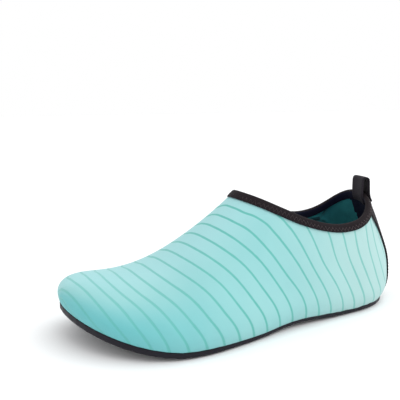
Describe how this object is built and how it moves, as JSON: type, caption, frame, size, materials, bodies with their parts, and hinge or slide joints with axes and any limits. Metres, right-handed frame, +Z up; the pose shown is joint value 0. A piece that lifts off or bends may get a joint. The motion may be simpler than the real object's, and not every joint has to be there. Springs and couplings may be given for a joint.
{
  "type": "water shoe",
  "caption": "Slip-on water shoe for the left foot: stretch fabric upper, bound collar, heel loop and a thin rubber sole with pods.",
  "frame": {"origin": "on the floor, under the middle of the shoe's length and width", "axes": "+X towards the toe, +Y to the shoe's outer (left) side, +Z up"},
  "size_m": [0.2566, 0.1026, 0.0968],
  "materials": {
    "aqua_fabric": "smooth stretch knit with printed lines",
    "black_rubber": "satin moulded rubber",
    "teal_foam": "matte fabric over foam",
    "black_binding": "matte elastic tape",
    "black_tape": "matte woven tape",
    "charcoal_webbing": "ribbed webbing"
  },
  "bodies": {
    "root": {"upper": "aqua_fabric", "outsole": "black_rubber", "insole": "teal_foam", "collar_binding": "black_binding", "heel_tape": "black_tape", "pull_loop": "charcoal_webbing"}
  },
  "joints": []
}
